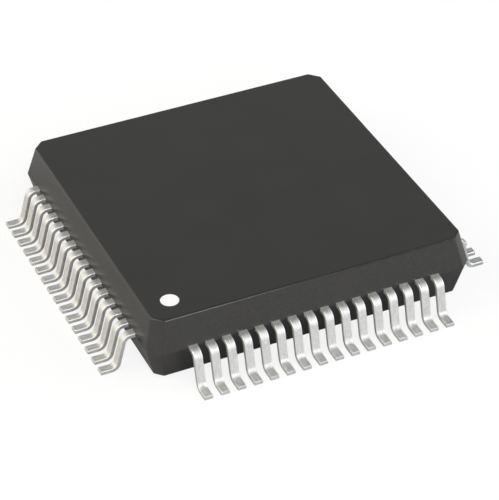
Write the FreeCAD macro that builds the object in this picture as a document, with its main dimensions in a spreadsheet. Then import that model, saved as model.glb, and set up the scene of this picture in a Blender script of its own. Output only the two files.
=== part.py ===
import FreeCAD, Part
import Sketcher
import math
import os

# Quad flat pack chip: a moulded square package with 16 gull-wing leads on each of its four sides.
# Millimetres. +Z is up, z = 0 is the plane that the feet stand on, and the origin is under the centre.
# The front is at -Y and the right at +X. Pin 1 is at the corner at -X -Y, and the pins count
# anticlockwise seen from above.

SIZES = [
    ("leads_per_side", 16, "number of leads on each side"),
    ("lead_pitch", 0.50, "centre to centre of neighbouring leads"),
    ("corner_margin", 1.25, "centre of a row's last lead to the next side of the body"),
    ("lead_width", 0.26, "width of a lead outside the body"),
    ("lead_thickness", 0.125, "thickness of the lead frame's sheet"),
    ("lead_reach", 1.055, "foot tip out from the body's side"),
    ("shoulder_flat", 0.12, "straight stretch of a lead between the body and its first bend"),
    ("bend_radius", 0.165, "inside radius of a lead's two bends"),
    ("lead_lean", 14.5, "degrees that a lead's leg leans out from the vertical"),
    ("standoff", 0.10, "gap between the board and the body"),
    ("upper_height", 0.98, "moulding above the parting plane"),
    ("lower_height", 0.98, "moulding below the parting plane"),
    ("top_inset", 0.23, "draft of a side, from the parting plane to the top"),
    ("bottom_inset", 0.25, "draft of a side, from the parting plane to the bottom"),
    ("corner_leg_parting", 0.31, "leg of the cut corner at the parting plane"),
    ("corner_leg_top", 0.30, "leg of the cut corner at the top"),
    ("corner_leg_bottom", 0.225, "leg of the cut corner at the bottom"),
    ("rim_radius", 0.035, "rounding round the top and the bottom face"),
    ("dot_inset", 0.78, "centre of the pin 1 dot in from the top face's two edges"),
    ("dot_diameter", 0.53, "pin 1 dot"),
    ("dot_depth", 0.02, "recess that holds the pin 1 dot"),
    ("ejector_diameter", 1.60, "mark of the ejector pin under the body"),
    ("ejector_depth", 0.03, "depth of the ejector pin's mark"),
    ("finger_length", 2.15, "tip of a lead's inner finger in from the body's side"),
    ("finger_straight", 0.50, "straight stretch of a finger before it fans in"),
    ("finger_tip_width", 0.17, "width of a finger at its tip"),
    ("corner_clearance", 0.37, "centre of a row's last finger tip to the diagonal, along the row"),
    ("paddle_gap", 0.25, "finger tips to the die paddle"),
    ("paddle_downset", 0.25, "die paddle below the plane of the leads"),
    ("tie_bar_width", 0.20, "bar that holds a corner of the paddle"),
    ("tie_bar_ledge", 0.10, "tie bar's flat past the paddle's corner"),
    ("tie_bar_ramp", 0.35, "length of the tie bar's slope"),
    ("tie_bar_cover", 0.35, "moulding over the tie bar's cut end"),
    ("die_border", 0.60, "rim of the paddle round the die"),
    ("die_thickness", 0.30, "silicon die"),
    ("attach_thickness", 0.03, "layer of adhesive under the die"),
    ("attach_spread", 0.05, "adhesive past the die's edge"),
]

# Sizes that follow from the sheet, as expressions over its cells.
PARTING_Z = "(Sizes.standoff + Sizes.lower_height)"
TOP_Z = f"({PARTING_Z} + Sizes.upper_height)"
LEAD_TOP_Z = f"({PARTING_Z} + Sizes.lead_thickness / 2)"
BODY_HALF = "((Sizes.leads_per_side - 1) / 2 * Sizes.lead_pitch + Sizes.corner_margin)"
TOP_HALF = f"({BODY_HALF} - Sizes.top_inset)"
BOTTOM_HALF = f"({BODY_HALF} - Sizes.bottom_inset)"
FINGER_TIP_Y = f"({BODY_HALF} - Sizes.finger_length)"
FAN_START_Y = f"({BODY_HALF} - Sizes.finger_straight)"
TIP_PITCH = f"(({FINGER_TIP_Y} - Sizes.corner_clearance) * 2 / (Sizes.leads_per_side - 1))"
PADDLE_HALF = f"({FINGER_TIP_Y} - Sizes.paddle_gap)"
PADDLE_TOP_Z = f"({LEAD_TOP_Z} - Sizes.paddle_downset)"
DIE_HALF = f"({PADDLE_HALF} - Sizes.die_border)"
ATTACH_HALF = f"({DIE_HALF} + Sizes.attach_spread)"
DIE_BOTTOM_Z = f"({PADDLE_TOP_Z} + Sizes.attach_thickness)"

# A row of leads is drawn at the +Y side, the back, and turned into place by these degrees.
# Pin 1 is the front row's lead at -X, and the count runs on through the right, back and left rows.
ROW_TURNS = {"front": 180, "right": -90, "back": 0, "left": 90}


def size_sheet(doc):
    sheet = doc.addObject("Spreadsheet::Sheet", "Sizes")
    for row, (alias, value, note) in enumerate(SIZES, start=1):
        sheet.set(f"A{row}", alias)
        sheet.set(f"B{row}", str(value))
        sheet.setAlias(f"B{row}", alias)
        sheet.set(f"C{row}", note)
    doc.recompute()
    return sheet


def value_of(obj, expression):
    """The number that an expression over the sheet gives now, for a sketch's first drawing."""
    found = obj.evalExpression(expression)
    return float(getattr(found, "Value", found))


def bind(obj, **expressions):
    for name, expression in expressions.items():
        obj.setExpression(name.replace("__", "."), expression)


def sketch_on(body, name, role):
    """An empty sketch on one of the body's own origin planes."""
    sketch = body.newObject("Sketcher::SketchObject", name)
    plane = [feature for feature in body.Origin.OriginFeatures if feature.Role == role][0]
    sketch.AttachmentSupport = (plane, "")
    sketch.MapMode = "FlatFace"
    return sketch


def hold(sketch, *held):
    """Add constraints that expressions drive: each is a kind, its places and the expression."""
    constraints = []
    for kind, *places, expression in held:
        start = value_of(sketch, expression)
        start = math.radians(start) if kind == "Angle" else start
        constraints.append(Sketcher.Constraint(kind, *places, start))
    first = sketch.ConstraintCount
    sketch.addConstraint(constraints)
    for index, (*_, expression) in enumerate(held, start=first):
        sketch.setExpression(f"Constraints[{index}]", expression)


def draw_outlines(sketch, *outlines):
    """Closed outlines of straight edges, each corner held by two expressions."""
    joints = []
    held = []
    for corners in outlines:
        points = [FreeCAD.Vector(value_of(sketch, x), value_of(sketch, y), 0) for x, y in corners]
        first = sketch.GeometryCount
        lines = list(range(first, first + len(corners)))
        following = lines[1:] + lines[:1]
        sketch.addGeometry([
            Part.LineSegment(start, end) for start, end in zip(points, points[1:] + points[:1])
        ])
        joints += [
            Sketcher.Constraint("Coincident", line, 2, after, 1) for line, after in zip(lines, following)
        ]
        for line, (x, y) in zip(lines, corners):
            held += [("DistanceX", -1, 1, line, 1, x), ("DistanceY", -1, 1, line, 1, y)]
    sketch.addConstraint(joints)
    hold(sketch, *held)


def draw_circle(sketch, centre_x, centre_y, diameter):
    centre = FreeCAD.Vector(value_of(sketch, centre_x), value_of(sketch, centre_y), 0)
    circle = Part.Circle(centre, FreeCAD.Vector(0, 0, 1), value_of(sketch, diameter) / 2)
    sketch.addGeometry(circle)
    hold(
        sketch,
        ("DistanceX", -1, 1, 0, 3, centre_x),
        ("DistanceY", -1, 1, 0, 3, centre_y),
        ("Diameter", 0, diameter),
    )


def add_wedge(body, kind, name, x, y, z, x_far, z_far):
    """A block from one rectangle to another along Y; each argument is a pair of expressions."""
    wedge = body.newObject(f"PartDesign::{kind}Wedge", name)
    bind(wedge, Xmin=x[0], Xmax=x[1], Ymin=y[0], Ymax=y[1], Zmin=z[0], Zmax=z[1])
    bind(wedge, X2min=x_far[0], X2max=x_far[1], Z2min=z_far[0], Z2max=z_far[1])
    return wedge


# Moulding

def drafted_half(body, name, low_half, high_half, base_z, height):
    """A square block that stands on base_z and changes from one half width to another."""
    low, high = (f"-{low_half}", low_half), (f"-{high_half}", high_half)
    block = add_wedge(body, "Additive", name, low, ("0", height), low, high, high)
    block.Placement = FreeCAD.Placement(
        FreeCAD.Vector(0, 0, 0), FreeCAD.Rotation(FreeCAD.Vector(1, 0, 0), 90)
    )
    block.setExpression("Placement.Base.z", base_z)


def corner_cut(body, name, low, high, base_z, height):
    """The cut across one corner; low and high are a half width and a leg at its two ends."""
    def distance(half, leg):
        return f"((2 * {half} - {leg}) / sqrt(2))"

    reach = f"(2 * {BODY_HALF})"
    across = (f"-{reach}", reach)
    near = (distance(*low), reach)
    far = (distance(*high), reach)
    cut = add_wedge(body, "Subtractive", name, across, ("0", height), near, across, far)
    along = FreeCAD.Vector(-1, 1, 0)
    outward = FreeCAD.Vector(1, 1, 0)
    cut.Placement = FreeCAD.Placement(
        FreeCAD.Vector(0, 0, 0), FreeCAD.Rotation(along, FreeCAD.Vector(0, 0, 1), outward, "ZXY")
    )
    cut.setExpression("Placement.Base.z", base_z)
    return cut


def cut_corners(body, name, upright, low, high, base_z, height):
    """The same cut across all four corners of one half."""
    cut = corner_cut(body, f"{name}Corner", low, high, base_z, height)
    corners = body.newObject("PartDesign::PolarPattern", f"{name}Corners")
    corners.Originals = [cut]
    corners.Axis = (upright, [""])
    corners.Angle = 360
    corners.Occurrences = 4
    body.Tip = corners
    return corners


def edges_at(shape, height):
    """Names of the straight edges that lie level at a height."""
    names = []
    for index, edge in enumerate(shape.Edges, start=1):
        if all(abs(vertex.Z - height) < 1e-6 for vertex in edge.Vertexes):
            names.append(f"Edge{index}")
    return names


def moulding_blank(doc):
    """The epoxy as the mould shapes it: two drafted halves, rounded rims, dot recess, ejector mark."""
    body = doc.addObject("PartDesign::Body", "MouldingBlank")
    parting = (BODY_HALF, "Sizes.corner_leg_parting")
    top = (TOP_HALF, "Sizes.corner_leg_top")
    bottom = (BOTTOM_HALF, "Sizes.corner_leg_bottom")
    drafted_half(body, "UpperHalf", BODY_HALF, TOP_HALF, PARTING_Z, "Sizes.upper_height")
    drafted_half(body, "LowerHalf", BOTTOM_HALF, BODY_HALF, "Sizes.standoff", "Sizes.lower_height")
    upright = body.newObject("PartDesign::Line", "Upright")
    upright.AttachmentSupport = [
        (feature, "") for feature in body.Origin.OriginFeatures if feature.Role == "Z_Axis"
    ]
    upright.MapMode = "TwoPointLine"
    cut_corners(body, "Upper", upright, parting, top, PARTING_Z, "Sizes.upper_height")
    corners = cut_corners(body, "Lower", upright, bottom, parting, "Sizes.standoff", "Sizes.lower_height")
    doc.recompute()

    rims = body.newObject("PartDesign::Fillet", "Rims")
    levels = (value_of(body, TOP_Z), value_of(body, "Sizes.standoff"))
    rims.Base = (corners, [name for level in levels for name in edges_at(corners.Shape, level)])
    rims.setExpression("Radius", "Sizes.rim_radius")

    recess = sketch_on(body, "DotRecessOutline", "XY_Plane")
    dot_place = f"-({TOP_HALF} - Sizes.dot_inset)"
    draw_circle(recess, dot_place, dot_place, "Sizes.dot_diameter")
    recess.setExpression("AttachmentOffset.Base.z", TOP_Z)
    dot_pocket = body.newObject("PartDesign::Pocket", "DotRecess")
    dot_pocket.Profile = recess
    dot_pocket.setExpression("Length", "Sizes.dot_depth")

    mark = sketch_on(body, "EjectorMarkOutline", "XY_Plane")
    draw_circle(mark, "0", "0", "Sizes.ejector_diameter")
    mark.setExpression("AttachmentOffset.Base.z", "Sizes.standoff")
    mark_pocket = body.newObject("PartDesign::Pocket", "EjectorMark")
    mark_pocket.Profile = mark
    mark_pocket.Reversed = True
    mark_pocket.setExpression("Length", "Sizes.ejector_depth")
    return body


def moulded_body(doc, blank, leads, stack):
    """The moulding with the cavities that the lead frame and the die fill."""
    middle = doc.addObject("Part::MultiFuse", "DieAndPaddle")
    middle.Shapes = stack
    filling = doc.addObject("Part::Compound", "SealedPieces")
    filling.Links = leads + [middle]
    body = doc.addObject("Part::Cut", "MouldedBody")
    body.Label = "moulded_body"
    body.Base = blank
    body.Tool = filling
    return body


def pin_one_mark(doc):
    """The white ink dot, level with the top face."""
    mark = doc.addObject("Part::Cylinder", "PinOneMark")
    mark.Label = "pin_one_mark"
    place = f"-({TOP_HALF} - Sizes.dot_inset)"
    bind(mark, Radius="Sizes.dot_diameter / 2", Height="Sizes.dot_depth")
    bind(mark, Placement__Base__x=place, Placement__Base__y=place)
    bind(mark, Placement__Base__z=f"{TOP_Z} - Sizes.dot_depth")
    return mark


# Leads

def draw_gull_wing(sketch):
    """Side view of a lead: flat out of the body, bend down, leaning leg, bend out, foot."""
    inner = value_of(sketch, FAN_START_Y)
    bend_start = value_of(sketch, f"{BODY_HALF} + Sizes.shoulder_flat")
    tip = value_of(sketch, f"{BODY_HALF} + Sizes.lead_reach")
    top = value_of(sketch, LEAD_TOP_Z)
    sheet_thick = value_of(sketch, "Sizes.lead_thickness")
    tight = value_of(sketch, "Sizes.bend_radius")
    wide = tight + sheet_thick
    lean = math.radians(value_of(sketch, "Sizes.lead_lean"))

    # The leg runs down between the centres of the two bends and touches both.
    across = FreeCAD.Vector(math.cos(lean), math.sin(lean), 0)
    down = FreeCAD.Vector(math.sin(lean), -math.cos(lean), 0)
    shoulder = FreeCAD.Vector(bend_start, top - wide, 0)
    drop = shoulder.y - wide
    leg = (drop + (wide + tight) * math.sin(lean)) / math.cos(lean)
    ankle = shoulder + across * (wide + tight) + down * leg

    def arc(centre, radius, start, end):
        circle = Part.Circle(centre, FreeCAD.Vector(0, 0, 1), radius)
        return Part.ArcOfCircle(circle, start, end)

    def line(start, end):
        return Part.LineSegment(start, end)

    point = FreeCAD.Vector
    sketch.addGeometry([
        line(point(inner, top, 0), point(bend_start, top, 0)),
        arc(shoulder, wide, lean, math.pi / 2),
        line(shoulder + across * wide, ankle - across * tight),
        arc(ankle, tight, math.pi + lean, 1.5 * math.pi),
        line(point(ankle.x, sheet_thick, 0), point(tip, sheet_thick, 0)),
        line(point(tip, sheet_thick, 0), point(tip, 0, 0)),
        line(point(tip, 0, 0), point(ankle.x, 0, 0)),
        arc(ankle, wide, math.pi + lean, 1.5 * math.pi),
        line(ankle - across * wide, shoulder + across * tight),
        arc(shoulder, tight, lean, math.pi / 2),
        line(point(bend_start, top - sheet_thick, 0), point(inner, top - sheet_thick, 0)),
        line(point(inner, top - sheet_thick, 0), point(inner, top, 0)),
    ])
    flat, shoulder_out, leg_out, ankle_in, foot_top, foot_tip = range(6)
    foot_bottom, ankle_out, leg_in, shoulder_in, flat_under, inner_end = range(6, 12)
    start, end, centre = 1, 2, 3
    x_axis, origin = -1, (-1, 1)

    tangents = [
        (flat, end, shoulder_out, end), (shoulder_out, start, leg_out, start),
        (leg_out, end, ankle_in, start), (ankle_in, end, foot_top, start),
        (foot_bottom, end, ankle_out, end), (ankle_out, start, leg_in, start),
        (leg_in, end, shoulder_in, start), (shoulder_in, end, flat_under, start),
    ]
    joints = [
        (foot_top, end, foot_tip, start), (foot_tip, end, foot_bottom, start),
        (flat_under, end, inner_end, start), (inner_end, end, flat, start),
        (shoulder_out, centre, shoulder_in, centre), (ankle_in, centre, ankle_out, centre),
    ]
    sketch.addConstraint(
        [Sketcher.Constraint("Tangent", *place) for place in tangents]
        + [Sketcher.Constraint("Coincident", *place) for place in joints]
        + [Sketcher.Constraint("Horizontal", line) for line in (flat, foot_top, foot_bottom, flat_under)]
        + [Sketcher.Constraint("Vertical", line) for line in (foot_tip, inner_end)]
        + [Sketcher.Constraint("PointOnObject", foot_tip, end, x_axis)]
    )
    hold(
        sketch,
        ("Radius", shoulder_in, "Sizes.bend_radius"),
        ("Radius", ankle_in, "Sizes.bend_radius"),
        ("DistanceY", inner_end, start, inner_end, end, "Sizes.lead_thickness"),
        ("DistanceY", foot_tip, end, foot_tip, start, "Sizes.lead_thickness"),
        ("Angle", leg_out, "-(90 - Sizes.lead_lean)"),
        ("DistanceX", *origin, flat, start, FAN_START_Y),
        ("DistanceX", *origin, flat, end, f"{BODY_HALF} + Sizes.shoulder_flat"),
        ("DistanceY", *origin, flat, start, LEAD_TOP_Z),
        ("DistanceX", *origin, foot_tip, start, f"{BODY_HALF} + Sizes.lead_reach"),
    )


def row_places(sheet):
    """Each lead's place in its row, counted in pitches from the row's middle."""
    count = int(sheet.get("leads_per_side"))
    return [i - (count - 1) / 2 for i in range(count)]


def finger_outline(place):
    """Plan of the part of a finger that fans in, from the row's straight stretch to its tip."""
    tip = f"{TIP_PITCH} * ({place})"
    root = f"Sizes.lead_pitch * ({place})"
    return [
        (f"{tip} - Sizes.finger_tip_width / 2", FINGER_TIP_Y),
        (f"{tip} + Sizes.finger_tip_width / 2", FINGER_TIP_Y),
        (f"{root} + Sizes.lead_width / 2", FAN_START_Y),
        (f"{root} - Sizes.lead_width / 2", FAN_START_Y),
    ]


def lead_row(doc, sheet, side, turn):
    """One side's leads: a gull wing repeated along the row, and a finger that fans in to the die."""
    body = doc.addObject("PartDesign::Body", f"LeadRow_{side}")
    body.Label = f"leads_{side}"
    profile = sketch_on(body, f"GullWing_{side}", "YZ_Plane")
    draw_gull_wing(profile)
    first_place = "-(Sizes.leads_per_side - 1) / 2 * Sizes.lead_pitch"
    profile.setExpression("AttachmentOffset.Base.z", first_place)

    wing = body.newObject("PartDesign::Pad", f"Wing_{side}")
    wing.Profile = profile
    wing.SideType = "Symmetric"
    wing.setExpression("Length", "Sizes.lead_width")

    wings = body.newObject("PartDesign::LinearPattern", f"Wings_{side}")
    wings.Originals = [wing]
    wings.Direction = (profile, ["N_Axis"])
    bind(wings, Length="(Sizes.leads_per_side - 1) * Sizes.lead_pitch", Occurrences="Sizes.leads_per_side")
    body.Tip = wings

    plan = sketch_on(body, f"FingerPlan_{side}", "XY_Plane")
    draw_outlines(plan, *[finger_outline(place) for place in row_places(sheet)])
    plan.setExpression("AttachmentOffset.Base.z", f"{LEAD_TOP_Z} - Sizes.lead_thickness")
    fingers = body.newObject("PartDesign::Pad", f"Fingers_{side}")
    fingers.Profile = plan
    fingers.setExpression("Length", "Sizes.lead_thickness")
    body.Placement = FreeCAD.Placement(
        FreeCAD.Vector(0, 0, 0), FreeCAD.Rotation(FreeCAD.Vector(0, 0, 1), turn)
    )
    return body


# Die paddle and die

def die_paddle(doc):
    """The sunken plate under the die, with a stepped bar from each corner towards the body's."""
    body = doc.addObject("PartDesign::Body", "DiePaddle")
    body.Label = "die_paddle"
    plate = sketch_on(body, "PlateOutline", "XY_Plane")
    low, high = f"-{PADDLE_HALF}", PADDLE_HALF
    draw_outlines(plate, [(low, low), (high, low), (high, high), (low, high)])
    plate.setExpression("AttachmentOffset.Base.z", f"{PADDLE_TOP_Z} - Sizes.lead_thickness")
    pad = body.newObject("PartDesign::Pad", "Plate")
    pad.Profile = plate
    pad.setExpression("Length", "Sizes.lead_thickness")

    bar = sketch_on(body, "TieBarProfile", "XZ_Plane")
    bar.AttachmentOffset = FreeCAD.Placement(
        FreeCAD.Vector(0, 0, 0), FreeCAD.Rotation(FreeCAD.Vector(0, 1, 0), 45)
    )
    corner = f"({PADDLE_HALF} * sqrt(2))"
    start = f"({corner} - Sizes.tie_bar_width)"
    ramp_start = f"({corner} + Sizes.tie_bar_ledge)"
    ramp_end = f"({ramp_start} + Sizes.tie_bar_ramp)"
    body_corner = f"((2 * {BODY_HALF} - Sizes.corner_leg_parting) / sqrt(2))"
    end = f"({body_corner} - Sizes.tie_bar_cover)"
    thick = "Sizes.lead_thickness"
    draw_outlines(bar, [
        (start, f"{PADDLE_TOP_Z} - {thick}"), (ramp_start, f"{PADDLE_TOP_Z} - {thick}"),
        (ramp_end, f"{LEAD_TOP_Z} - {thick}"), (end, f"{LEAD_TOP_Z} - {thick}"),
        (end, LEAD_TOP_Z), (ramp_end, LEAD_TOP_Z),
        (ramp_start, PADDLE_TOP_Z), (start, PADDLE_TOP_Z),
    ])
    bar_pad = body.newObject("PartDesign::Pad", "TieBar")
    bar_pad.Profile = bar
    bar_pad.SideType = "Symmetric"
    bar_pad.setExpression("Length", "Sizes.tie_bar_width")

    bars = body.newObject("PartDesign::PolarPattern", "TieBars")
    bars.Originals = [bar_pad]
    bars.Axis = (plate, ["N_Axis"])
    bars.Angle = 360
    bars.Occurrences = 4
    body.Tip = bars
    return body


def centred_block(doc, name, label, half, bottom, height):
    block = doc.addObject("Part::Box", name)
    block.Label = label
    bind(block, Length=f"2 * {half}", Width=f"2 * {half}", Height=height)
    bind(block, Placement__Base__x=f"-{half}", Placement__Base__y=f"-{half}", Placement__Base__z=bottom)
    return block


def check_and_write(doc, pieces):
    """Stop if anything failed to build, then write each piece to its own file."""
    for obj in doc.Objects:
        if "Invalid" in obj.State or "Error" in obj.State:
            raise RuntimeError(f"{obj.Label} did not build: {obj.State}")
    for piece in pieces:
        if piece.Shape.isNull() or not piece.Shape.isValid():
            raise RuntimeError(f"{piece.Label} has no valid shape")
    os.makedirs("parts", exist_ok=True)
    for piece in pieces:
        piece.Shape.exportStep(f"parts/{piece.Label}.step")
        print(f"{piece.Label}: {len(piece.Shape.Solids)} solids, {piece.Shape.Volume:.5f} mm3")


def main():
    doc = FreeCAD.newDocument("quad_flat_pack")
    sheet = size_sheet(doc)
    leads = [lead_row(doc, sheet, side, turn) for side, turn in ROW_TURNS.items()]
    paddle = die_paddle(doc)
    attach = centred_block(
        doc, "DieAttach", "die_attach", ATTACH_HALF, PADDLE_TOP_Z, "Sizes.attach_thickness"
    )
    die = centred_block(doc, "SiliconDie", "silicon_die", DIE_HALF, DIE_BOTTOM_Z, "Sizes.die_thickness")
    blank = moulding_blank(doc)
    stack = [paddle, attach, die]
    body = moulded_body(doc, blank, leads, stack)
    mark = pin_one_mark(doc)
    doc.recompute()
    check_and_write(doc, [body, mark] + leads + stack)


main()
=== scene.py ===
import bmesh
import bpy
import math
from mathutils import Matrix, Quaternion, Vector


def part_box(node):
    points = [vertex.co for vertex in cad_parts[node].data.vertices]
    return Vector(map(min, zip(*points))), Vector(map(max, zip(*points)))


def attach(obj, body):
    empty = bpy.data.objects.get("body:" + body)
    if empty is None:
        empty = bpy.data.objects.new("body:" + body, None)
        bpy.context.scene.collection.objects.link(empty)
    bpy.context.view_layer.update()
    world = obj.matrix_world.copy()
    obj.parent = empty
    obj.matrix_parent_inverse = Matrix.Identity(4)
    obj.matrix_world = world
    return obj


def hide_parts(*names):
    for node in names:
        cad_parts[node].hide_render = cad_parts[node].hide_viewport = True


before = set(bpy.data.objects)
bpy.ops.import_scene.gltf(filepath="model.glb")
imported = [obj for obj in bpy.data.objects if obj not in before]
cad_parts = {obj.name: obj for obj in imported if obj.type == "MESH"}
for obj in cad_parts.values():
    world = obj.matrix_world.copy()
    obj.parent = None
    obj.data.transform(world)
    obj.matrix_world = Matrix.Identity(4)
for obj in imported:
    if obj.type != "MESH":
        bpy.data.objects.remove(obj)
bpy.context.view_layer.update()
mm = 0.001  # sizes below are in millimetres, Blender's are in metres
print("frame loaded:", sorted(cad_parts))


# Helpers

def linearColour(hexCode):  # sRGB hex to the linear colour that shaders take
    values = [int(hexCode[i:i + 2], 16) / 255 for i in (1, 3, 5)]
    return [v / 12.92 if v <= 0.04045 else ((v + 0.055) / 1.055) ** 2.4 for v in values] + [1]


def addNode(tree, kind, inputs=None, **settings):
    node = tree.nodes.new(kind)
    for name, value in settings.items():
        setattr(node, name, value)
    for name, value in (inputs or {}).items():
        if isinstance(value, bpy.types.NodeSocket):
            tree.links.new(value, node.inputs[name])
        else:
            node.inputs[name].default_value = value
    return node


def startMaterial(name, **shine):
    material = bpy.data.materials.new(name)
    material.use_nodes = True
    tree = material.node_tree
    tree.nodes.clear()
    shader = addNode(tree, "ShaderNodeBsdfPrincipled")
    for socket, value in shine.items():
        shader.inputs[socket.replace("_", " ")].default_value = value
    output = addNode(tree, "ShaderNodeOutputMaterial", {"Surface": shader.outputs["BSDF"]})
    output.is_active_output = True
    return material, tree, shader


def perFeature(sizeMm):  # noise scale whose features are this size, on coordinates in metres
    return 1 / (sizeMm * mm)


def makePiece(name, mesh, material, slot, *nodes):
    piece = bpy.data.objects.new(name, mesh)
    bpy.context.scene.collection.objects.link(piece)
    mesh.materials.clear()
    mesh.materials.append(material)
    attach(piece, "root")
    if nodes:
        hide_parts(*nodes)
    return piece


def finishNode(node, material):  # a CAD node that keeps its own mesh
    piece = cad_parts[node]
    piece.data.materials.clear()
    piece.data.materials.append(material)


def skinRings(work, rings):  # faces along rings of vertices, closed at both ends
    for before, after in zip(rings, rings[1:]):
        for i in range(len(before)):
            work.faces.new((before[i - 1], before[i], after[i], after[i - 1]))
    work.faces.new(rings[0][::-1])
    work.faces.new(rings[-1])


def smoothMesh(name, work):
    bmesh.ops.recalc_face_normals(work, faces=work.faces)
    mesh = bpy.data.meshes.new(name)
    work.to_mesh(mesh)
    work.free()
    mesh.shade_smooth()
    return mesh


# Materials

epoxy = {
    "colour": "#262624",
    "paleColour": "#2a2a28",
    "cloudSize": 1.6,  # slow drift of tone where filler gathered as the mould filled
    "grainSize": 0.035,  # pits of the spark-eroded mould, drawn coarse enough to show
    "grainHeight": 0.0002,
    "fillerSize": 0.09,
    "smoothest": 0.215,
    "roughest": 0.235,
}


def mouldedEpoxy():
    # Silica-filled epoxy, moulded in a spark-eroded cavity: a dry dark grey with a broad soft sheen
    material, tree, shader = startMaterial("moulded filled epoxy", IOR=1.6)
    place = addNode(tree, "ShaderNodeTexCoord").outputs["Object"]
    cloud = addNode(tree, "ShaderNodeTexNoise", {
        "Vector": place, "Scale": perFeature(epoxy["cloudSize"]), "Detail": 3.0, "Roughness": 0.55})
    filler = addNode(tree, "ShaderNodeTexNoise", {
        "Vector": place, "Scale": perFeature(epoxy["fillerSize"]), "Detail": 2.0})
    speck = addNode(tree, "ShaderNodeMath", {0: cloud.outputs["Fac"], 1: filler.outputs["Fac"]})
    tone = addNode(tree, "ShaderNodeMapRange", {
        "Value": speck.outputs[0], "From Min": 0.75, "From Max": 1.25})
    colour = addNode(tree, "ShaderNodeMix", {
        0: tone.outputs[0],
        6: linearColour(epoxy["colour"]),
        7: linearColour(epoxy["paleColour"])}, data_type="RGBA")
    grain = addNode(tree, "ShaderNodeTexNoise", {
        "Vector": place, "Scale": perFeature(epoxy["grainSize"]), "Detail": 2.0, "Roughness": 0.6})
    rough = addNode(tree, "ShaderNodeMapRange", {
        "Value": grain.outputs["Fac"], "From Min": 0.3, "From Max": 0.7,
        "To Min": epoxy["smoothest"], "To Max": epoxy["roughest"]})
    bump = addNode(tree, "ShaderNodeBump", {
        "Height": grain.outputs["Fac"], "Distance": epoxy["grainHeight"] * mm, "Strength": 1.0})
    tree.links.new(colour.outputs[2], shader.inputs["Base Color"])
    tree.links.new(rough.outputs[0], shader.inputs["Roughness"])
    tree.links.new(bump.outputs["Normal"], shader.inputs["Normal"])
    return material


tin = {
    "colour": "#c8c9c6",
    "paleColour": "#eff0ee",
    "streakWidth": 0.03,  # rolling marks of the strip, along each lead
    "streakLength": 0.3,
    "streakHeight": 0.0022,
    "crystalSize": 0.032,  # dull grains of the plating
    "crystalHeight": 0.0026,
    "smoothest": 0.55,
    "roughest": 0.69,
    # paler colour along the rims: a painted highlight
    "paintedRimHighlight": "#f2f2f0",
    "rimRoughness": 0.48,
    "streaksOnSlopes": 0.25,  # share of rolling marks against grains where a lead slopes down
    "streaksOnFlats": 0.9,
}


def tinPlate():
    # Matt tin plated on rolled copper alloy strip: a bright satin with a mottled highlight. Along the
    # rims the bending tool rubbed the grains flat, so they are smoother there, and their paler colour
    # is a painted highlight that draws crisp light lines. The rolling marks show most on shoulders and
    # feet, which lie as the strip was rolled
    material, tree, shader = startMaterial("matt tin plate", Metallic=1.0)
    along = addNode(tree, "ShaderNodeAttribute", attribute_name="alongLead").outputs["Vector"]
    burnishAndHighlight = addNode(tree, "ShaderNodeAttribute", attribute_name="burnishAndHighlight").outputs["Fac"]
    place = addNode(tree, "ShaderNodeTexCoord").outputs["Object"]
    stretched = addNode(tree, "ShaderNodeMapping", {
        "Vector": along,
        "Scale": (perFeature(tin["streakWidth"]), perFeature(tin["streakLength"]), 1.0)})
    streak = addNode(tree, "ShaderNodeTexNoise", {
        "Vector": stretched.outputs[0], "Scale": 1.0, "Detail": 3.0, "Roughness": 0.6})
    crystal = addNode(tree, "ShaderNodeTexNoise", {
        "Vector": place, "Scale": perFeature(tin["crystalSize"]), "Detail": 4.0, "Roughness": 0.6})
    facing = addNode(tree, "ShaderNodeTexCoord").outputs["Normal"]
    level = addNode(tree, "ShaderNodeMapRange", {
        "Value": addNode(tree, "ShaderNodeSeparateXYZ", {0: facing}).outputs["Z"],
        "From Min": 0.3, "From Max": 0.95,
        "To Min": tin["streaksOnSlopes"], "To Max": tin["streaksOnFlats"]})
    brushed = addNode(tree, "ShaderNodeMix", {
        0: level.outputs[0], 2: crystal.outputs["Fac"], 3: streak.outputs["Fac"]})
    tone = addNode(tree, "ShaderNodeMapRange", {
        "Value": brushed.outputs[0], "From Min": 0.35, "From Max": 0.65})
    colour = addNode(tree, "ShaderNodeMix", {
        0: tone.outputs[0],
        6: linearColour(tin["colour"]),
        7: linearColour(tin["paleColour"])}, data_type="RGBA")
    rough = addNode(tree, "ShaderNodeMapRange", {
        "Value": crystal.outputs["Fac"], "From Min": 0.3, "From Max": 0.7,
        "To Min": tin["smoothest"], "To Max": tin["roughest"]})
    # painted highlight: a paler colour on the rims, where the burnish also lowers the roughness
    paintedRimHighlight = addNode(tree, "ShaderNodeMix", {
        0: burnishAndHighlight, 6: colour.outputs[2], 7: linearColour(tin["paintedRimHighlight"])}, data_type="RGBA")
    rimRough = addNode(tree, "ShaderNodeMix", {
        0: burnishAndHighlight, 2: rough.outputs[0], 3: tin["rimRoughness"]})
    rolled = addNode(tree, "ShaderNodeBump", {
        "Height": streak.outputs["Fac"], "Distance": tin["streakHeight"] * mm, "Strength": 1.0})
    plated = addNode(tree, "ShaderNodeBump", {
        "Height": crystal.outputs["Fac"], "Distance": tin["crystalHeight"] * mm, "Strength": 1.0,
        "Normal": rolled.outputs["Normal"]})
    tree.links.new(paintedRimHighlight.outputs[2], shader.inputs["Base Color"])
    tree.links.new(rimRough.outputs[0], shader.inputs["Roughness"])
    tree.links.new(plated.outputs["Normal"], shader.inputs["Normal"])
    return material


ink = {
    "colour": "#f2f3f3",
    "paleColour": "#fafbfd",
    "blotSize": 0.07,
    "blotHeight": 0.001,
}


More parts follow.
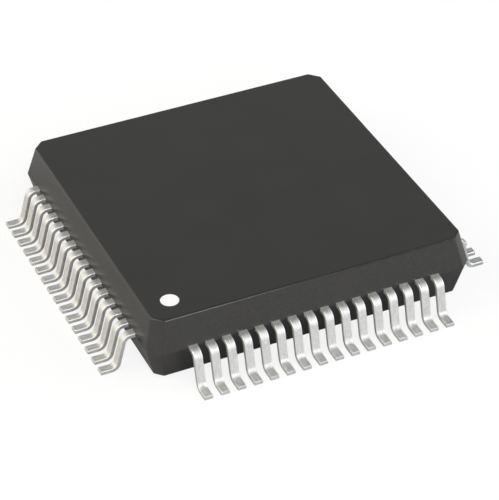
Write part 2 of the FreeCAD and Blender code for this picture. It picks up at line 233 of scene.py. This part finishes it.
def printedInk():
    # Pad-printed white epoxy ink: opaque and chalky, a little uneven where the pad lifted
    material, tree, shader = startMaterial("white printing ink", IOR=1.5, Roughness=0.6)
    place = addNode(tree, "ShaderNodeTexCoord").outputs["Object"]
    blot = addNode(tree, "ShaderNodeTexNoise", {
        "Vector": place, "Scale": perFeature(ink["blotSize"]), "Detail": 3.0})
    tone = addNode(tree, "ShaderNodeMapRange", {
        "Value": blot.outputs["Fac"], "From Min": 0.3, "From Max": 0.7})
    colour = addNode(tree, "ShaderNodeMix", {
        0: tone.outputs[0],
        6: linearColour(ink["colour"]),
        7: linearColour(ink["paleColour"])}, data_type="RGBA")
    bump = addNode(tree, "ShaderNodeBump", {
        "Height": blot.outputs["Fac"], "Distance": ink["blotHeight"] * mm, "Strength": 1.0})
    tree.links.new(colour.outputs[2], shader.inputs["Base Color"])
    tree.links.new(bump.outputs["Normal"], shader.inputs["Normal"])
    return material


def plainNoiseMaterial(name, dark, pale, size, roughLow, roughHigh, **shine):
    material, tree, shader = startMaterial(name, **shine)
    place = addNode(tree, "ShaderNodeTexCoord").outputs["Object"]
    noise = addNode(tree, "ShaderNodeTexNoise", {
        "Vector": place, "Scale": perFeature(size), "Detail": 3.0})
    colour = addNode(tree, "ShaderNodeMix", {
        0: noise.outputs["Fac"], 6: linearColour(dark), 7: linearColour(pale)}, data_type="RGBA")
    rough = addNode(tree, "ShaderNodeMapRange", {
        "Value": noise.outputs["Fac"], "To Min": roughLow, "To Max": roughHigh})
    tree.links.new(colour.outputs[2], shader.inputs["Base Color"])
    tree.links.new(rough.outputs[0], shader.inputs["Roughness"])
    return material


epoxyMaterial = mouldedEpoxy()
tinMaterial = tinPlate()
inkMaterial = printedInk()
copperMaterial = plainNoiseMaterial(
    "stamped copper alloy", "#b9795a", "#cf8e6d", 0.2, 0.28, 0.4, Metallic=1.0)  # bare under the die
adhesiveMaterial = plainNoiseMaterial(
    "silver-filled die adhesive", "#9b9b9b", "#b4b4b2", 0.05, 0.5, 0.65, IOR=1.5)
siliconMaterial = plainNoiseMaterial(
    "polished silicon", "#3b3f49", "#454a55", 0.6, 0.12, 0.2, IOR=3.4)
goldMaterial = plainNoiseMaterial(
    "drawn gold wire", "#e3b04f", "#f2c76b", 0.1, 0.15, 0.25, Metallic=1.0)
print("materials made:", len(bpy.data.materials))


# Moulded body: the CAD solid with the soft rounding that the mould leaves along its rims and corners

mouldedBody = {
    "cadRim": 0.036,  # the solid's fine rim lies within this of its top and bottom
    "cornersStart": 4.4,  # the cut corners lie farther out than this, both ways
    "softReach": 0.047,  # how far the rounding reaches to each side of an edge
    "softSteps": 5,
    "softFrom": 40,  # degrees; the parting line folds less than this and stays as it is
    "crispFrom": 20,  # degrees; flatter folds are shaded smooth
    "flatWithin": 0.5,  # degrees; faces that fold less than this are one flat
    "weldWithin": 0.0005,
}


def isAtCorner(vert):
    return min(abs(vert.co.x), abs(vert.co.y)) > mouldedBody["cornersStart"] * mm


def sharpenRim(work, height):
    # Pull the fine rim of the top or bottom face back to the sharp outline of its eight corners
    near = [vert for vert in work.verts
            if isAtCorner(vert) and abs(vert.co.z - height) < mouldedBody["cadRim"] * mm]
    corners = {}
    for vert in near:
        x, y = vert.co.x, vert.co.y
        corners.setdefault((x > 0, y > 0, abs(x) > abs(y)), []).append(vert)
    for group in corners.values():
        start = max(group, key=lambda vert: abs(vert.co.z - height))
        ends = [edge.other_vert(start).co for edge in start.link_edges]
        end = max(ends, key=lambda spot: abs(spot.z - height)).copy()
        sharp = end.lerp(start.co, (height - end.z) / (start.co.z - end.z))
        for vert in group:
            vert.co = sharp
    bmesh.ops.remove_doubles(work, verts=near, dist=mouldedBody["weldWithin"] * mm)


def isSoftEdge(edge):
    if len(edge.link_faces) != 2 or not all(isAtCorner(vert) for vert in edge.verts):
        return False
    return edge.calc_face_angle() > math.radians(mouldedBody["softFrom"])


def makeMouldedBody():
    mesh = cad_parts["moulded_body"].data.copy()
    mesh.name = "epoxy_moulding"
    work = bmesh.new()
    work.from_mesh(mesh)
    bmesh.ops.remove_doubles(work, verts=work.verts, dist=mouldedBody["weldWithin"] * mm)
    flat = math.radians(mouldedBody["flatWithin"])
    bmesh.ops.dissolve_limit(work, angle_limit=flat, verts=work.verts, edges=work.edges)
    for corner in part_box("moulded_body"):
        sharpenRim(work, corner[2])
    work.normal_update()
    edges = [edge for edge in work.edges if isSoftEdge(edge)]
    bmesh.ops.bevel(
        work, geom=edges, offset=mouldedBody["softReach"] * mm, offset_type="OFFSET",
        segments=mouldedBody["softSteps"], profile=0.5, affect="EDGES")
    work.to_mesh(mesh)
    work.free()
    mesh.shade_smooth()
    mesh.set_sharp_from_angle(angle=math.radians(mouldedBody["crispFrom"]))
    piece = makePiece("epoxy_moulding", mesh, epoxyMaterial, "moulded_epoxy", "moulded_body")
    flats = piece.modifiers.new("keep the flats flat", "WEIGHTED_NORMAL")
    flats.keep_sharp = True
    return piece


# Leads: strip with its edges rolled over by the punch, bent to a gull wing, and a finger that fans in

lead = {
    "perSide": 16,
    "pitch": 0.50,
    "width": 0.26,
    "thickness": 0.125,
    "bodySide": 5.0,  # out from the middle of the part to the parting line
    "shoulderFlat": 0.12,
    "bendRadius": 0.165,
    "lean": 14.5,
    "tip": 6.055,
    "topHeight": 1.1425,
    "fingerTip": 2.85,
    "fanStart": 4.5,
    "fingerTipWidth": 0.17,
    "lastFingerTip": 2.48,  # middle of a row's last finger tip, along the row
    "upperRim": 0.035,  # rolled over by the punch, the burr side underneath stays crisp
    "lowerRim": 0.01,
    "tipRim": 0.018,
    "leastRim": 0.0005,
    "rimsAppear": 0.01,  # to each side of the parting line
    # at the tip as well: smoother, and paler as a painted highlight
    "tipBurnishAndHighlight": 0.5,  # as a share of the rims' own
    "patternStep": 7,  # across the rolling marks from one lead to the next, so that no two look alike
    "bendSteps": 16,
    "rimSteps": 4,
}


def leadStations():
    # Along a lead: place out, height of the sheet's middle, slope, share of rims, turn round the tip
    half = lead["thickness"] / 2
    radius = lead["bendRadius"] + half
    bend = math.radians(90 - lead["lean"])
    height = lead["topHeight"] - half
    out = lead["bodySide"]
    stations = [(lead["fingerTip"], height, 0, 0, 0),
                (lead["fanStart"], height, 0, 0, 0),
                (out - lead["rimsAppear"], height, 0, 0, 0),
                (out + lead["rimsAppear"], height, 0, 1, 0)]
    out += lead["shoulderFlat"]
    for step in range(lead["bendSteps"] + 1):
        turn = bend * step / lead["bendSteps"]
        drop = radius * (1 - math.cos(turn))
        stations.append((out + radius * math.sin(turn), height - drop, -turn, 1, 0))
    legDrop = height - half - 2 * radius * (1 - math.cos(bend))
    ankle = out + 2 * radius * math.sin(bend) + legDrop / math.tan(bend)
    for step in range(lead["bendSteps"] + 1):
        turn = bend * (1 - step / lead["bendSteps"])
        lift = radius * (1 - math.cos(turn))
        stations.append((ankle - radius * math.sin(turn), half + lift, -turn, 1, 0))
    for step in range(lead["rimSteps"] + 1):
        turn = math.pi / 2 * step / lead["rimSteps"]
        stations.append((lead["tip"] - lead["tipRim"] * (1 - math.sin(turn)), half, 0, 1, turn))
    return stations


def leadSection(width, rims, inset):
    # Round the strip's section: place across, up from its middle, which way it faces, share of rim (for
    # the burnish and the painted rim highlight)
    points = []
    corners = ((1, 1, "upperRim"), (-1, 1, "upperRim"), (-1, -1, "lowerRim"), (1, -1, "lowerRim"))
    for index, (side, rise, rim) in enumerate(corners):
        radius = max(lead[rim] * rims - inset, lead["leastRim"])
        inwards = inset + radius
        centre = (side * (width / 2 - inwards), rise * (lead["thickness"] / 2 - inwards))
        for step in range(lead["rimSteps"] + 1):
            angle = math.pi / 2 * (index + step / lead["rimSteps"])
            facing = (math.cos(angle), math.sin(angle))
            onRim = rims * abs(math.sin(2 * angle)) if rim == "upperRim" else 0
            spot = (centre[0] + radius * facing[0], centre[1] + radius * facing[1])
            points.append((*spot, facing, onRim))
    return points


def makeLeadRow(side, degrees):
    work = bmesh.new()
    alongLead = work.verts.layers.float_vector.new("alongLead")
    burnishAndHighlight = work.verts.layers.float.new("burnishAndHighlight")
    turnRow = Matrix.Rotation(math.radians(degrees), 3, "Z")
    halfRow = (lead["perSide"] - 1) / 2
    facings = []
    for number in range(lead["perSide"]):
        place = (number - halfRow) / halfRow  # -1 to 1 along the row
        straightX = place * halfRow * lead["pitch"]
        fanned = place * lead["lastFingerTip"] - straightX
        rings = []
        walked = 0
        lastOut, lastHeight = lead["fingerTip"], leadStations()[0][1]
        for out, height, slope, rims, turn in leadStations():
            fan = max(lead["fanStart"] - out, 0) / (lead["fanStart"] - lead["fingerTip"])
            width = lead["width"] + (lead["fingerTipWidth"] - lead["width"]) * fan
            inset = lead["tipRim"] * (1 - math.cos(turn))
            walked += math.hypot(out - lastOut, height - lastHeight)
            lastOut, lastHeight = out, height
            ring = []
            for across, rise, (sideways, upwards), onRim in leadSection(width, rims, inset):
                spot = Vector((straightX + fanned * fan + across,
                               out - rise * math.sin(slope), height + rise * math.cos(slope)))
                facing = Vector((sideways, -upwards * math.sin(slope), upwards * math.cos(slope)))
                facing = facing * math.cos(turn) + Vector((0, 1, 0)) * math.sin(turn)
                vert = work.verts.new(turnRow @ spot * mm)
                vert[alongLead] = Vector((number * lead["patternStep"] + across, walked, rise)) * mm
                # smoother rims and tip edge, whose paler colour is a painted highlight
                vert[burnishAndHighlight] = max(onRim, lead["tipBurnishAndHighlight"] * math.sin(2 * turn))
                facings.append(turnRow @ facing)
                ring.append(vert)
            rings.append(ring)
        skinRings(work, rings)
    mesh = smoothMesh(f"lead_row_{side}", work)
    mesh.normals_split_custom_set_from_vertices([facing.normalized() for facing in facings])
    return makePiece(f"lead_row_{side}", mesh, tinMaterial, "tin_plated_leads", f"leads_{side}")


# Bond wires: fine gold from the die's pads to the finger tips, sealed in the moulding

bondWire = {
    "radius": 0.0125,
    "padInset": 0.12,  # pads in from the die's edge
    "padSpread": 0.92,  # share of the die's side that a row of pads takes up
    "tipInset": 0.15,  # weld back from the finger's tip
    "loop": 0.22,  # top of the arch over the die
    "archAt": 0.25,  # share of the way at which the arch is highest
    "steps": 14,
    "sides": 6,
}


def bondWirePoints(place, dieHalf, dieTop):
    padReach = dieHalf - bondWire["padInset"]
    pad = Vector((place * padReach * bondWire["padSpread"], padReach, dieTop))
    weldOut = lead["fingerTip"] + bondWire["tipInset"]
    weld = Vector((place * lead["lastFingerTip"], weldOut, lead["topHeight"]))
    points = []
    for step in range(bondWire["steps"] + 1):
        share = step / bondWire["steps"]
        arch = math.sin(math.pi * share ** (math.log(0.5) / math.log(bondWire["archAt"])))
        points.append(pad.lerp(weld, share) + Vector((0, 0, arch * bondWire["loop"])))
    return points


def makeBondWires():
    work = bmesh.new()
    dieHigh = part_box("silicon_die")[1]
    halfRow = (lead["perSide"] - 1) / 2
    for degrees in rowTurns.values():
        turnRow = Matrix.Rotation(math.radians(degrees), 3, "Z")
        for number in range(lead["perSide"]):
            points = bondWirePoints((number - halfRow) / halfRow, dieHigh[1] / mm, dieHigh[2] / mm)
            rings = []
            for i, point in enumerate(points):
                along = (points[min(i + 1, len(points) - 1)] - points[max(i - 1, 0)]).normalized()
                across = along.cross(Vector((0, 0, 1))).normalized()
                over = across.cross(along)
                ring = []
                for side in range(bondWire["sides"]):
                    angle = 2 * math.pi * side / bondWire["sides"]
                    offset = (across * math.cos(angle) + over * math.sin(angle)) * bondWire["radius"]
                    ring.append(work.verts.new(turnRow @ (point + offset) * mm))
                rings.append(ring)
            skinRings(work, rings)
    mesh = smoothMesh("bond_wires", work)
    wires = bpy.data.objects.new("bond_wires", mesh)
    bpy.context.scene.collection.objects.link(wires)
    mesh.materials.append(goldMaterial)
    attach(wires, "root")


# A row is drawn at the back and turned to its side
rowTurns = {"front": 180, "right": -90, "back": 0, "left": 90}

makeMouldedBody()
for side, degrees in rowTurns.items():
    makeLeadRow(side, degrees)
makeBondWires()
print("body, leads and wires made:", lead["perSide"] * len(rowTurns), "leads")

finishNode("pin_one_mark", inkMaterial)
finishNode("die_paddle", copperMaterial)
finishNode("die_attach", adhesiveMaterial)
finishNode("silicon_die", siliconMaterial)


# Floor, light and camera

studio = {
    "floorRadius": 1.5,
    "floorColour": "#d6d6d6",  # as the part is lit by it; the camera sees it white
    "shadeColour": "#a8a8a8",  # painted shadow: the floor's colour close to the part, darker than the lamps alone leave it
    "shadeFrom": 5.0,  # out from the middle of the part, as a square
    "shadeTo": 10.0,
    "seenWhite": 0.85,  # share of plain white in what the camera sees, the rest holds the shadow
    "mirroredWhite": 0.06,  # and in what gloss and metal show
    "backdrop": {0: 1.0, 12: 0.14, 25: 0.1},  # degrees up: how bright it is there, and from the last on
}


def makeWorld():
    world = bpy.data.worlds.new("studio")
    world.use_nodes = True
    bpy.context.scene.world = world
    tree = world.node_tree
    tree.nodes.clear()
    direction = addNode(tree, "ShaderNodeTexCoord").outputs["Generated"]
    height = addNode(tree, "ShaderNodeSeparateXYZ", {0: direction})
    fade = addNode(tree, "ShaderNodeValToRGB", {"Fac": height.outputs["Z"]})
    stops = fade.color_ramp.elements
    for number, (degrees, bright) in enumerate(studio["backdrop"].items()):
        place = math.sin(math.radians(degrees))
        stop = stops[number] if number < 2 else stops.new(place)
        stop.position = place
        stop.color = (bright, bright, bright, 1)
    light = addNode(tree, "ShaderNodeBackground", {"Color": fade.outputs["Color"], "Strength": 1.0})
    white = addNode(tree, "ShaderNodeBackground", {"Color": (1, 1, 1, 1), "Strength": 1.0})
    isCamera = addNode(tree, "ShaderNodeLightPath").outputs["Is Camera Ray"]
    both = addNode(tree, "ShaderNodeMixShader", {
        0: isCamera, 1: light.outputs[0], 2: white.outputs[0]})
    addNode(tree, "ShaderNodeOutputWorld", {"Surface": both.outputs[0]})


def makeFloor():
    work = bmesh.new()
    bmesh.ops.create_circle(work, cap_ends=True, segments=96, radius=studio["floorRadius"])
    mesh = bpy.data.meshes.new("floor")
    work.to_mesh(mesh)
    work.free()
    floor = bpy.data.objects.new("floor", mesh)
    bpy.context.scene.collection.objects.link(floor)
    material = bpy.data.materials.new("white sweep")
    material.use_nodes = True
    tree = material.node_tree
    tree.nodes.clear()
    path = addNode(tree, "ShaderNodeLightPath")
    place = addNode(tree, "ShaderNodeTexCoord").outputs["Object"]
    # painted shadow on the floor near the part, seen in gloss, metal and bounce light only; the camera
    # sees the floor white
    aside = addNode(tree, "ShaderNodeVectorMath", {0: place}, operation="ABSOLUTE")
    sides = addNode(tree, "ShaderNodeSeparateXYZ", {0: aside.outputs[0]})
    away = addNode(tree, "ShaderNodeMath", {
        0: sides.outputs["X"], 1: sides.outputs["Y"]}, operation="MAXIMUM")
    clearOf = addNode(tree, "ShaderNodeMapRange", {
        "Value": away.outputs[0],
        "From Min": studio["shadeFrom"] * mm, "From Max": studio["shadeTo"] * mm})
    shaded = addNode(tree, "ShaderNodeMix", {
        0: clearOf.outputs[0],
        6: linearColour(studio["shadeColour"]),
        7: linearColour(studio["floorColour"])}, data_type="RGBA")
    tone = addNode(tree, "ShaderNodeMix", {
        0: path.outputs["Is Camera Ray"],
        6: shaded.outputs[2],
        7: (1, 1, 1, 1)}, data_type="RGBA")
    matt = addNode(tree, "ShaderNodeBsdfDiffuse", {"Color": tone.outputs[2]})
    white = addNode(tree, "ShaderNodeEmission", {"Color": (1, 1, 1, 1), "Strength": 1.0})
    seen = addNode(tree, "ShaderNodeMath", {
        0: path.outputs["Is Camera Ray"], 1: studio["seenWhite"]}, operation="MULTIPLY")
    mirrored = addNode(tree, "ShaderNodeMath", {
        0: path.outputs["Is Glossy Ray"],
        1: path.outputs["Is Transmission Ray"]}, operation="MAXIMUM")
    share = addNode(tree, "ShaderNodeMath", {
        0: mirrored.outputs[0],
        1: studio["mirroredWhite"],
        2: seen.outputs[0]}, operation="MULTIPLY_ADD")
    top = addNode(tree, "ShaderNodeMixShader", {
        0: share.outputs[0], 1: matt.outputs[0], 2: white.outputs[0]})
    clear = addNode(tree, "ShaderNodeBsdfTransparent")
    under = addNode(tree, "ShaderNodeNewGeometry").outputs["Backfacing"]
    both = addNode(tree, "ShaderNodeMixShader", {0: under, 1: top.outputs[0], 2: clear.outputs[0]})
    addNode(tree, "ShaderNodeOutputMaterial", {"Surface": both.outputs[0]})
    mesh.materials.append(material)


softboxes = {  # square ones round the table, sizes in metres
    "front": {"azimuth": 0, "elevation": 34, "size": 0.3, "radiance": 5.0, "colour": "#f7f9ff"},
    "right": {"azimuth": 68, "elevation": 29, "size": 0.34, "radiance": 4.2, "colour": "#f8faff"},
    "left": {"azimuth": -108, "elevation": 36, "size": 0.34, "radiance": 2.5, "colour": "#fff4e2"},
    "near left": {"azimuth": -81, "elevation": 33, "size": 0.34, "radiance": 2.3, "colour": "#fff4e2"},
    "left back": {"azimuth": -143, "elevation": 27, "size": 0.5, "radiance": 0.75, "colour": "#ffffff"},
    "back": {"azimuth": 157, "elevation": 39, "size": 0.34, "radiance": 0.28, "colour": "#ffffff"},
}
softboxesAway = 0.5


def pointFrom(azimuth, elevation):
    a, e = math.radians(azimuth), math.radians(elevation)
    return Vector((math.sin(a) * math.cos(e), -math.cos(a) * math.cos(e), math.sin(e)))


def makeSoftboxes():
    for name, box in softboxes.items():
        lamp = bpy.data.lights.new(name, "AREA")
        lamp.shape = "SQUARE"
        lamp.size = box["size"]
        lamp.color = linearColour(box["colour"])[:3]
        lamp.energy = box["radiance"] * math.pi * box["size"] ** 2
        holder = bpy.data.objects.new(name, lamp)
        bpy.context.scene.collection.objects.link(holder)
        way = pointFrom(box["azimuth"], box["elevation"])
        holder.location = way * softboxesAway
        holder.rotation_mode = "QUATERNION"
        holder.rotation_quaternion = way.to_track_quat("Z", "Y")
        holder.visible_camera = False


camera = {  # found from the body's straight edges and the lead pitch in the photograph
    "azimuth": -24.641,
    "elevation": 37.024,
    "roll": -0.116,
    "away": 65.139,
    "lookAt": (-0.508, -1.653, 1.08),
    "lens": 162.157,
    "sensor": 36,
    "seesFrom": 1,
    "seesTo": 10000,
}


def makeCamera():
    data = bpy.data.cameras.new("camera")
    data.lens = camera["lens"]
    data.sensor_width = camera["sensor"]
    data.clip_start = camera["seesFrom"] * mm
    data.clip_end = camera["seesTo"] * mm
    holder = bpy.data.objects.new("camera", data)
    bpy.context.scene.collection.objects.link(holder)
    way = pointFrom(camera["azimuth"], camera["elevation"])
    holder.location = (Vector(camera["lookAt"]) + way * camera["away"]) * mm
    holder.rotation_mode = "QUATERNION"
    roll = Quaternion((0, 0, 1), math.radians(camera["roll"]))
    holder.rotation_quaternion = way.to_track_quat("Z", "Y") @ roll
    bpy.context.scene.camera = holder


makeWorld()
makeFloor()
makeSoftboxes()
makeCamera()
bpy.context.scene.view_settings.view_transform = "Standard"
print("floor, lights and camera set")
